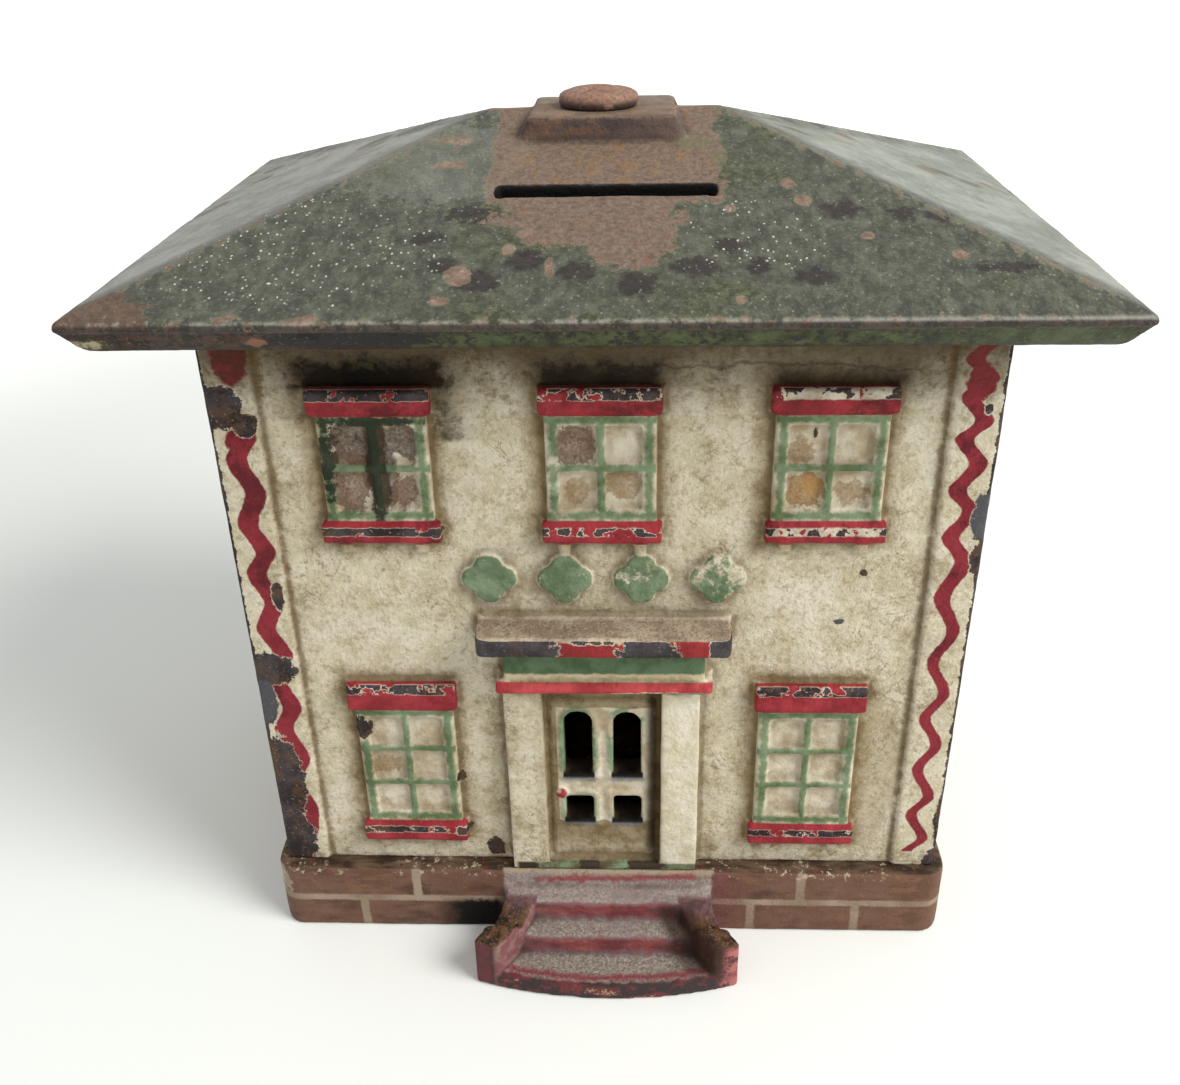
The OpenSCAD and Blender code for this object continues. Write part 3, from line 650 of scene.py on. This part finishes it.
def front_wall_paint():
    front_foot = (0, (house_y - wall_half_d) / 1000, plinth_top / 1000)
    front = WallPaint("front wall paint", 20, front_foot, 0, wall_half_w, bay, 0)
    x, z, out, ragged = front.x, front.z, front.out, front.ragged
    side, door_x = abs(x), x + door_off
    beside_door = side.rise(15.5, 16.5) | z.rise(42, 43)

    def spots(*places):
        """Spots on the wall, each by its place across and up, its size and how ragged it is."""
        return reduce(
            operator.or_,
            [
                front.spot((across, 0, up), (w, math.inf, h), ragged * soft)
                for across, up, w, h, soft in places
            ],
        )

    # panes gone brown and violet with smoke
    for code, share, *places in (
        ("463839", 0.7, (-28, 64, 7, 6, 5), (-25.6, 60.5, 4, 12, 3), (-22.5, 64, 4, 5, 3)),
        ("6d5346", 0.75, (-29.5, 59, 6, 8, 5), (-23, 57.4, 3, 4, 3), (-3, 63.4, 5, 5, 4)),
        (
            "8c6f4a",
            0.6,
            (2.6, 58.4, 4.4, 4.4, 4),
            (-3, 57.5, 3, 3, 3),
            (28.8, 57.4, 4, 3, 4),
            (22.6, 62.6, 3, 3, 4),
            (-29.5, 16.8, 4, 3, 4),
        ),
        ("95703a", 0.75, (23.6, 57.6, 4.6, 4.6, 4)),
        ("b98a4e", 0.5, (24.2, 58.2, 2, 2.4, 2)),
    ):
        clouded = (ragged + front.speck).between(share - 0.35, share + 0.45)
        front.coat(spots(*places) * front.pane_at * clouded, code)

    # a brown shadow in the right bay
    front.coat(spots((34.6, 15, 8, 26, 7)) * out.rise(0.5, 0.3) * 0.36, "8a744c")

    # door, its pilasters and the lights
    right_post = door_x.near(door_post_x, door_post_half_w, 0.2)
    right_post = right_post * z.rise(door_post_top + 0.2, door_post_top - 0.2) * out.rise(1.2, 1.7)
    front.coat(right_post * 0.7, "d0c5a8", "e6deca")
    # painted shadow down the right side of the door recess
    recess_shadow = door_x.near(6.9, 1.1, 0.7) * z.near(16, 14, 1) * out.rise(2, 1.4)
    front.coat(recess_shadow * (ragged + 0.5).rise(0.2, 0.4) * 0.9, "30210f")
    for (low, high), corner, share in ((arched_light, light_w / 2, 0.9), (square_light, 0.8, 0.6)):
        beside = abs(abs(door_x) - light_pitch / 2)
        over = abs(z - (low + high) / 2) - (high - low) / 2 + corner | 0
        past = beside - light_w / 2 + corner | 0
        round_it = past * past + over * over
        ring = round_it.math("SQRT", round_it) - corner + ragged * 1.2
        smear = ring.rise(1.1, 0.3) * (front.mottle + door_x * -0.1).rise(0.05, 0.6)
        front.coat(smear * out.rise(3, 2) * share, "56704d", "6f8a66")
        ledge = beside.rise(2.8, 1.8) * (z + ragged * 1.8).near(low - 0.7, 0.6, 0.5)
        front.coat(ledge * out.rise(2, 1.4) * 0.85, "6a6866", "85878a")
        # near black on the bottom of each light's reveal: painted shade
        under = beside.rise(2.2, 2) * z.near(low, 0.5, 0.3) * out.rise(1.3, 1)
        front.coat(under, "0d0b0a", "1e1a18")
    on_knob = out.rise(0.9, 1.1)
    front.coat(spots((-6.4, 12.7, 2.4, 2.4, 1)) * on_knob, "94383a")
    # a painted highlight on top of the knob
    front.coat(spots((-6.6, 13.3, 1, 0.9, 1)) * on_knob * 0.8, "cbb8ac")
    front.coat((z + ragged * 6).rise(5.5, 0.5) * side.rise(8, 6) * 0.6, "77654b")
    step = (z + ragged * 0.6).rise(1.5, 1.1) * side.rise(12.6, 12) * out.rise(1, 1.6)
    front.coat(step, "564c39", "7b8c6c")
    front.coat(step * spots((-2.6, 1, 3, 3, 3), (5, 1, 5, 3, 3), (-12, 1, 5, 3, 3)), "40352b")

    # canopy over the door: dusty above, red worn to the iron in front
    canopy = z.near(canopy_z, 1.8, 0.1) * side.rise(canopy_half_w, canopy_half_w - 0.3)
    canopy = canopy * out.rise(0.5, 1.6)
    face = (front.held("level") + ragged * 0.3).rise(0.86, 0.66)
    front.coat(canopy, "8c7965", "b3a18b")
    front.coat(canopy * (ragged * 0.5 + front.speck).rise(0.5, 0.7) * 0.55, "5b4a3a")
    front.coat(canopy * (ragged * 0.5 - front.speck).rise(-0.46, -0.3) * 0.4, "bfb19c")
    front.coat(canopy * face, "832b2e", "9a3537")
    rim = canopy * (z + ragged * 2.6).near(canopy_z + 1.2, 0.3, 0.14)
    front.coat(rim * out.rise(4.6, 5) * x.rise(5, 2), "a5957c", "cdbfa4")
    canopy_chips = spots(
        (-10.8, 38.2, 11.5, 6, 3.4),
        (5.4, 38, 7.4, 5, 3.4),
        (14.6, 38.4, 3.6, 5, 2.4),
        (-1.5, 39.8, 6, 0.7, 1.6),
    )
    canopy_chips = canopy_chips * canopy * face
    frieze = side.rise(frieze_half_w, frieze_half_w - 0.2) * out.rise(2, 2.4)
    frieze = frieze * z.near(frieze_z, 2.4, 0.1)
    front.coat(frieze, "c9bb99")
    front.coat(frieze * (z + ragged * 0.9).rise(33.2, 33.6), "4a6043", "62785a")
    lip = side.rise(lip_half_w, lip_half_w - 0.2) * out.rise(2.4, 2.8) * z.near(lip_z, 1.0, 0.1)
    front.coat(lip, "a0383c", "c45051")
    lip_chips = lip * (z + ragged * 1.2).near(lip_z - 0.6, 0.3, 0.25)
    lip_chips = lip_chips * (x + ragged * 16).near(8, 6, 2)

    # four-petalled flowers over the canopy, and the green of the windows
    flowers = z.near(flower_z, 3.9, 0.2) * side.rise(flowers_half_w, flowers_half_w - 0.2)
    flowers = flowers * (out + ragged * 0.7).rise(0.36, 0.7) * out.rise(1.6, 1.4)
    front.coat(flowers * (front.broad + ragged).rise(0.28, 0.42) * 0.92, "4f6747", "75896a")
    front.coat(front.green_at * beside_door * 0.92, "49633f", "728663")
    sooty_bars = spots((-25.9, 60.5, 2.4, 14, 2), (-31.5, 62, 2, 9, 3), (-26, 66.6, 10, 1.4, 2))
    front.coat(sooty_bars * front.pane_at * 0.85, "1c1f18")

    # red: hoods and sills, the waves on the pilasters and the block over the left one
    left = front.wave(x, -41.45, 0.75, 2.5, left_turns) * (z + ragged * 3).rise(66, 65.6)
    right = front.wave(x, 41.75, 0.95, z.rise(36, 46).between(1.5, 2.1), right_turns)
    blots = spots(
        (-41.2, 75, 4.2, 8.6, 1.6),
        (41.9, 70.8, 3.2, 4.4, 2),
        (-41.6, 64, 3.2, 3, 1.6),
        (-43.3, 68.8, 1, 1.4, 1),
    )
    pilaster_edge = wall_half_w - pilaster_w
    on_pilaster = side.rise(pilaster_edge - 0.5, pilaster_edge - 0.2)
    waves = (left | right | blots * out.rise(1.2, 1)) * on_pilaster
    front.red_at = front.red_at * beside_door | waves
    front.nose_at = front.nose_at * beside_door
    front.coat(front.red_at, "85282e", "a3383e")
    front.coat(front.red_at * on_pilaster * 0.5, "702430")
    front.coat(front.red_at * (front.grime + z * 0.002).rise(0.6, 0.72) * 0.7, "4a1d20")

    # soot and painted shade under the eaves, soot over the hoods, and a crack
    front.under_eaves()
    for middle, half, foot, top, share in (
        (-26, 8.6, 70.4, 73.6, 1),
        (0, 7, 70.4, 73.2, 0.9),
        (26.5, 7, 70.4, 72, 0.7),
        (-17.6, 0.9, 64, 70.6, 0.7),
        (-34.6, 0.4, 66.6, 71, 0.5),
    ):
        smoke = (abs(x - middle) - half) | (z - top) | (foot - 3 - z)
        over = (z - foot).rise(-0.6, 0.1) * out.rise(3.4, 2.8) * (1 - front.red_at)
        front.coat((smoke + ragged * 9).rise(5, -1.5) * over * share * 0.5, "3d2a10")
        black = (smoke + ragged * 6).rise(1.4, -1.4) * over * share
        front.coat(black, "0e0904", "1a1209")
        front.soot = black | front.soot
    crack = (z + front.broad * 5 + ragged).near(75.2, 0.12, 0.2) * side.rise(37, 35)
    front.coat(crack * x.rise(-8, -4) * 0.6, "2a2014")

    # paint chipped off the corners, and here and there off the wall, the lip and the canopy
    chips = spots(
        (-43.4, 68.2, 6, 5.6, 3),
        (-40.6, 66, 3, 3, 2),
        (-40.1, 43.3, 1.5, 4, 1.6),
        (-43, 32.3, 7.5, 5, 3),
        (-44.4, 27.2, 4, 8, 1.8),
        (-43.8, 14, 6.4, 15, 3.4),
        (-43.8, 3.6, 6.6, 12, 3.4),
        (44.3, 54.2, 3, 6.6, 2),
        (44.5, 48.5, 2.4, 4.6, 2),
        (44.8, 8.5, 1.8, 8, 2),
        (44.3, 0.8, 2.6, 4, 2),
        (43, 67.6, 0.9, 1.3, 1),
        (-31.7, 23.2, 2.3, 3.8, 1.8),
        (-19.4, 14.8, 1.1, 1.6, 1.6),
        (-19.6, 6.4, 2.2, 1.4, 1.6),
        (-19.6, 52.6, 1.8, 1, 1.2),
        (31.3, 46.3, 0.8, 0.9, 1),
        (28.8, 39.4, 1.5, 0.8, 1),
        (-15.4, 2.4, 2.4, 3.4, 2.4),
        (24.2, 64.8, 0.6, 1.4, 1),
    )
    chips = chips | lip_chips | canopy_chips
    cold = spots((-44.4, 27.4, 4.6, 7, 2), (44.2, 54.4, 3.4, 6, 2), (29, 39.4, 3, 3, 0))
    worn_left = spots((-26, 62, 22, 26, 6)) * 0.1
    whole_right = x.rise(18, 22) * z.rise(50, 52) * -0.08
    return front.worn(chips, cold | canopy * 0.25, worn_left + whole_right)


def plain_wall_paint(name, seed, centre, turn, half_w, pitch, start, turns):
    wall = WallPaint(name, seed, centre, turn, half_w, pitch, start)
    wall.coat(wall.green_at * 0.92, "49633f", "728663")
    if turns:
        middle = half_w - pilaster_w / 2
        wall.red_at = wall.red_at | wall.wave(abs(wall.x), middle, 0.95, 1.7, turns)
    wall.coat(wall.red_at, "85282e", "a3383e")
    wall.under_eaves()
    ends = (abs(wall.x) - half_w).rise(-pilaster_w, -pilaster_w / 2)
    chips = (wall.grime + ends * 0.05 + wall.ragged * 0.1).rise(0.68, 0.7)
    nowhere = wall.x * 0
    return wall.worn(chips, nowhere, nowhere)


front_wall = sand_cast("front_wall_casting", "front_wall", 0.0003, 190000, "bank")
front_wall.data.materials.append(front_wall_paint())
back_wall = sand_cast("back_wall_casting", "back_wall", 0.00035, 140000, "bank")
back_foot = (0, (house_y + wall_half_d) / 1000, plinth_top / 1000)
back_wall.data.materials.append(
    plain_wall_paint("back wall paint", 30, back_foot, math.pi, wall_half_w, bay, 0, right_turns)
)
for side, name in ((-1, "left_wall"), (1, "right_wall")):
    wall = sand_cast(f"{name}_casting", name, 0.00035, 90000, "bank")
    foot = (side * wall_half_w / 1000, house_y / 1000, plinth_top / 1000)
    paint_name = f"{name.replace('_', ' ')} paint"
    turn = -side * math.pi / 2
    half_w = wall_half_d - wall_t - pilaster_out
    wall.data.materials.append(
        plain_wall_paint(paint_name, 50 + 10 * side, foot, turn, half_w, side_bay, side_bay / 2, ())
    )

# ---- Roof ----
# One thin iron casting, a low hipped roof with a bead and a leaning band along its eaves, a coin
# slot in the front slope and a raised platform for the screw. It is painted dull green, and coins
# and hands have worn it down to rust round the slot.
eave_half_w, eave_half_d, eave_z, hip_x = 55.2, 41.3, 92.5, 13.9
slope_share = 0.949
slot_x, slot_y, slot_half_l = 0.6, -18.4, 12.5
platform_foot, platform_top, platform_half_w, platform_half_d = 10.2, 13.6, 10.4, 8.6


def roof_paint():
    paint = Finish("roof paint", 90, centre=(0, house_y / 1000, eave_z / 1000))
    x, y, z = paint.axes()
    level, edge, hollow = paint.held("level"), paint.held("edge"), paint.held("hollow")
    ragged = paint.cloud(2.2, 91, detail=6, rough=0.7) - 0.5
    broad = paint.cloud(15, 92, detail=3)
    streak = paint.cloud(1.5, 93, detail=4, rough=0.65, stretch=(1, 0.45, 1))
    speck = paint.cloud(0.4, 94, detail=2)
    fine = paint.cloud(1.1, 95, detail=4, rough=0.7)
    frayed = ragged + fine * 0.7 - 0.35
    up = eave_half_d - abs(y)
    front = y.rise(0.2, -0.2)

    def spots(*places, blur=0.2):
        """Spots on the front slope. Their heights run up the slope from the eave, and slope_share
        makes them distances seen from above."""
        return reduce(
            operator.or_,
            [
                paint.spot(
                    (across, rise * slope_share - eave_half_d, 0),
                    (w, h * slope_share, math.inf),
                    frayed * soft,
                    blur,
                )
                for across, rise, w, h, soft in places
            ],
        )

    # green coat, gone grey and black
    colour = fine.rise(0.4, 0.6).mix(tint("383a24"), tint("585b40"))
    grey_spots = spots((-33, 15, 36, 24, 12), (20, 16, 26, 16, 10)) * front
    grey = (broad + abs(x - 1) * 0.004).rise(0.46, 0.6) | grey_spots
    colour = (grey * 0.8).mix(colour, streak.rise(0.35, 0.65).mix(tint("393a32"), tint("646657")))
    colour = ((ragged + streak * 0.6).rise(0.3, 0.46) * 0.55).mix(colour, tint("28271f"))
    ovals = spots(
        (-16.4, 9.8, 3.4, 2.6, 2.4),
        (-12.6, 6.8, 5, 4, 3.2),
        (-7.4, 10.6, 4, 3.6, 2.8),
        (-2, 8.4, 3.8, 3.4, 2.4),
        (4.2, 6.4, 4, 4, 2.8),
        (2, 11.6, 1.8, 1.6, 2),
        (10.4, 9.2, 4.8, 3.4, 2.4),
        (16.8, 9, 2.4, 3.4, 2.4),
        (22.4, 7.2, 4.4, 3, 2.4),
        (26, 19.6, 4.2, 3, 2.8),
        (32.6, 18.6, 2.6, 3, 2.8),
        (37, 18.4, 3.4, 2.4, 2.8),
        (41.5, 8.6, 6, 2, 4),
        (-13.5, 19.5, 7, 3, 6),
        (14, 13, 2.6, 3, 3.2),
        (-19, 14.6, 4, 2, 4),
        blur=0.45,
    )
    ovals = ovals * front
    black = fine.rise(0.4, 0.6).mix(tint("211c18"), tint("352d27"))
    colour = (ovals * fine.between(0.7, 1.2)).mix(colour, black)
    blots = (paint.cells(11, 97, stretch=(1, 1.3, 1)) + ragged * 0.3).rise(0.3, 0.18) * (1 - front)
    colour = (blots * fine.between(0.5, 1.1)).mix(colour, tint("2b2621"))
    colour = (speck.rise(0.55, 0.78) * 0.4 * (1 - ovals)).mix(colour, tint("7f846e"))
    colour = (speck.rise(0.42, 0.3) * 0.4).mix(colour, tint("2c2c24"))

    # rust: the worn place round platform and slot, spots, the left corner and the hips
    grain = paint.cloud(0.6, 96, detail=4, rough=0.75)
    rust = grain.rise(0.36, 0.64).mix(tint("6b584a"), tint("827060"))
    rust = (fine.rise(0.54, 0.68) * 0.5).mix(rust, tint("4d3c31"))
    rust = (streak.rise(0.54, 0.68) * 0.4).mix(rust, tint("80593f"))
    worn = ((13.2 - abs(x - 0.4)) & (y + 20.5)) + ragged * 7
    below = spots((-1, 19.4, 20, 12, 7), (3.4, 14.6, 10, 11, 5), (-5, 17, 8, 8, 5))
    worn = (worn.rise(-0.5, 0.3) | below) * front
    worn = worn | ((11.5 - (abs(x + 1) | abs(y))) + ragged * 8).rise(-0.4, 0.3)
    small = (ragged + speck * 0.3).rise(-0.16, 0.0) * spots(
        (-14.5, 8, 2.6, 3.4, 2),
        (-16, 3.6, 2, 1.4, 1),
        (-9.5, 12.7, 1.4, 2, 1),
        (-7.8, 15.6, 2.2, 1.8, 1),
        (-5, 9.4, 1, 2.6, 1),
        (22.4, 21.6, 2, 2, 1),
        (14.4, 20, 1.4, 1.6, 1),
        (28.6, 14.6, 1.4, 1.6, 1),
        (14.6, 3.6, 1, 1.4, 1),
        (37.6, 11, 1.6, 1.6, 1),
        (-18.5, 30, 3.6, 1.8, 4),
        (-17.4, 35.6, 4.4, 2.2, 4),
        (21, 25, 1.4, 2, 1),
        (-29, 0.6, 3, 1.4, 2),
        (-37, 0.8, 2.4, 1, 1.6),
    )
    other = (paint.cells(9, 98) + ragged * 0.3).rise(0.2, 0.14) * (1 - front)
    corner = spots((-54, 1.5, 18, 9, 6))
    foot = (up + ragged * 5).rise(0.9, 0.2) * streak.rise(0.48, 0.56)
    hip = (abs(abs(x) - abs(y) - hip_x) + ragged * 3.4).rise(1.3, 0.3) * streak.rise(0.4, 0.52)
    rusty = (worn | (small | corner) * front) | (other | foot * 0.7 | hip * 0.6)
    colour = (rusty.rise(0.05, 0.35) * 0.5).mix(colour, tint("74785c"))
    colour = rusty.rise(0.4, 0.65).mix(colour, rust)
    pink = fine.rise(0.36, 0.62).mix(tint("70594a"), tint("8f7b69"))
    colour = (small.rise(0.4, 0.7) * front * 0.85).mix(colour, pink)
    dark_rust = fine.rise(0.4, 0.6).mix(tint("43352a"), tint("66513f"))
    colour = (corner * front * 0.6).mix(colour, dark_rust)
    yellow = spots((0, 30, 24, 9, 8)) * (streak * 0.5 + grain * 0.5).rise(0.46, 0.6)
    colour = (yellow * front * 0.5).mix(colour, tint("8a6a42"))
    green = spots((10.6, 34.4, 4.6, 3, 3), (13.5, 31, 2.4, 3, 2))
    colour = (green * front * 0.5).mix(colour, tint("676b4a"))

    # pale flecks in the sanded skin, most of them on the left
    where = (spots((-32, 13, 32, 22, 10), (17, 15, 18, 14, 8)) * front).between(0.2, 0.85)
    where = where * (1 - worn)
    fleck = (paint.cells(0.66, 100, stretch=(1, 0.7, 1)) + speck * 0.5).rise(0.5, 0.36)
    fleck = fleck * (streak + fine).rise(0.86, 1.0)
    colour = (fleck * where).mix(colour, fine.rise(0.35, 0.6).mix(tint("8b8e82"), tint("d8dad0")))

    # platform
    on_top = z.rise(platform_top - 0.2, platform_top) * level.rise(0.75, 0.9)
    colour = paint.lay(colour, on_top * 0.7, "66503f", "8a725c")
    flank = z.rise(platform_foot, platform_foot + 0.6) * level.rise(0.75, 0.5)
    flank = flank * abs(x).rise(platform_half_w + 0.6, platform_half_w)
    flank = flank * abs(y).rise(platform_half_d + 0.4, platform_half_d)
    flank_tone = broad.rise(0.4, 0.62).mix(tint("3b3235"), tint("64524a"))
    flank_tone = ((fine + x * -0.01).rise(0.5, 0.66) * 0.7).mix(flank_tone, tint("755439"))
    colour = (flank * 0.92).mix(colour, flank_tone)

    # bead with a painted highlight along its top, band and underside, and the slot's walls in dark
    # rust and painted shade
    down = z * -1
    band_tone = paint.mottle.mix(tint("353d22"), tint("525b3a"))
    band_black = (fine * 0.5 + broad * 0.5 + x * -0.002).rise(0.44, 0.54)
    band_tone = band_black.mix(band_tone, tint("26221c"))
    band_rust = (broad + x * -0.005).rise(0.5, 0.68) * fine.rise(0.42, 0.56)
    band_tone = (band_rust * 0.8).mix(band_tone, tint("523930"))
    tar = paint.spot((-25, -40, -2), (17, 10, 3.6), ragged * 4)
    band_tone = (tar * 0.9).mix(band_tone, tint("1a1a1c"))
    brown_dot = paint.spot((-34.4, -40, -2.5), (1.4, 10, 0.9), ragged * 3.4)
    band_tone = (brown_dot * 0.8).mix(band_tone, tint("94664c"))
    band_tone = (speck.rise(0.62, 0.78) * 0.5).mix(band_tone, tint("8f8b78"))
    colour = down.rise(1.0, 1.3).mix(colour, band_tone)
    debris = paint.spot((-52.4, -40, -3), (5.4, 14, 1.7), ragged * 3)
    colour = (debris * 0.85).mix(colour, streak.rise(0.4, 0.55).mix(tint("4a4a30"), tint("bcae8c")))
    bead = (abs(y) - eave_half_d) | (abs(x) - eave_half_w)
    bead = down.near(0.75, 0.38, 0.25) * bead.rise(-1.4, -1)
    bead_tone = fine.rise(0.4, 0.6).mix(tint("2b2423"), tint("4c3f3b"))
    colour = (bead * (fine + 0.2).rise(0.5, 0.62) * 0.92).mix(colour, bead_tone)
    # a painted highlight along the top of the bead
    bead_highlight = down.near(0.2, 0.14, 0.14) * (broad * 0.5 + fine * 0.5 + x * 0.001).rise(0.44, 0.54)
    colour = (bead_highlight * 0.6).mix(colour, tint("a09d92"))
    colour = (level.rise(-0.5, -0.85) * 0.8).mix(colour, tint("2f2a22"))
    # the slot's walls near black: dark rust and painted shade
    reveal = abs(x - slot_x).rise(slot_half_l + 0.25, slot_half_l + 0.1)
    reveal = reveal * abs(y - slot_y - 0.4).rise(3, 2.6)
    slot_rust_and_shade = fine.rise(0.56, 0.75).mix(tint("050302"), tint("2a1b0c"))
    colour = (reveal * level.rise(0.8, 0.5)).mix(colour, slot_rust_and_shade)

    # bare arrises, dirt and painted shade in the hollows, and on what lies level dust on the back
    # and left of the slot, and on the side slopes a pale painted sheen with dust
    bare = (edge + ragged * 0.16).rise(0.07, 0.12) * (1 - bead)
    colour = (bare * 0.6).mix(colour, speck.rise(0.4, 0.6).mix(tint("4f443e"), tint("75665b")))
    # dirt and painted shade in the hollows
    dirt_and_shade = (hollow + ragged * 0.2).rise(-0.06, -0.3)
    colour = (dirt_and_shade * 0.6).mix(colour, tint("241a14"))
    rough = (rusty.rise(0.3, 0.6) | dirt_and_shade).between(0.5, 0.75)
    height = streak * 1.1 + ragged * 1.0 + speck * 0.35
    # the side slopes get a pale painted sheen with dust, the back and left of the slot dust
    sides = (abs(x) - abs(y) - hip_x + ragged * 6).rise(1.5, 8)
    left_of_slot = spots((-20, 31, 22, 18, 9)) * front * 0.28
    sheen_and_dust = sides | y.rise(0, 4) * (broad + streak).between(-0.7, 0.6) | left_of_slot
    sheen_and_dust = sheen_and_dust * level.rise(0.7, 0.85) * (1 - (rusty | blots) * 0.6)
    patchy = paint.cloud(8, 99, detail=5, rough=0.7)
    sheen_dust_tone = patchy.rise(0.4, 0.6).mix(tint("8d9082"), tint("a7a99d"))
    colour = (sheen_and_dust * (streak * 0.7 + patchy * 0.5).between(0.3, 0.95)).mix(colour, sheen_dust_tone)
    return paint.done(colour, rough, bare * 0.3, height, 0.2, gloss=0.28)


roof = sand_cast("roof_casting", "roof", 0.0004, 190000, "roof", softness=4)
roof.data.materials.append(roof_paint())

# ---- Roof screw ----
# One long steel screw holds roof and plinth together. Its round head is rusted pink and brown, and
# the driver slot is almost filled with rust.
screw_x, screw_seat = -0.6, 106.239


def screw_rust():
    rust = Finish("screw rust", 110, centre=(screw_x / 1000, house_y / 1000, screw_seat / 1000))
    z = rust.axes()[2]
    edge, hollow = rust.held("edge"), rust.held("hollow")
    fine = rust.cloud(0.55, 111, detail=6, rough=0.8)
    patchy = rust.cloud(2.4, 112, detail=4)
    colour = fine.rise(0.35, 0.65).mix(tint("745341"), tint("a58069"))
    colour = patchy.rise(0.5, 0.62).mix(colour, tint("865746"))
    # the side of the head painted darker than its top: painted shade, flecked with lighter rust
    side = z.rise(1.25, 0.5) * z.rise(-0.6, 0)
    colour = (side * patchy.rise(0.26, 0.44) * 0.95).mix(colour, tint("2a1914"))
    colour = (side * fine.rise(0.56, 0.7) * 0.8).mix(colour, tint("84584a"))
    colour = z.rise(-0.1, -0.5).mix(colour, tint("4a3a32"))
    # darker in the hollows: rust and painted shade
    colour = (hollow.rise(-0.02, -0.15) * 0.7).mix(colour, tint("38241e"))
    bare = (edge + (fine - 0.5) * 0.1).rise(0.12, 0.2) * z.rise(1.4, 0.8)
    colour = (bare * 0.4).mix(colour, tint("b1947f"))
    return rust.done(colour, fine.between(0.6, 0.8), bare * 0.3, fine + patchy * 0.6, 0.16)


roof_screw = sand_cast(
    "roof_screw_rusted", "roof_screw", 0.00018, 40000, "screw", softness=8
)
roof_screw.data.materials.append(screw_rust())

# ---- Size ----
# The castings keep to the box of the solids, so the finished bank is as large as the solids say.
# Both boxes are measured and kept as lists of corners.
boxes = {"solids": solid_box, "shown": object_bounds()}
for key, box in boxes.items():
    boxes[key] = [[float(v) for v in corner] for corner in box]
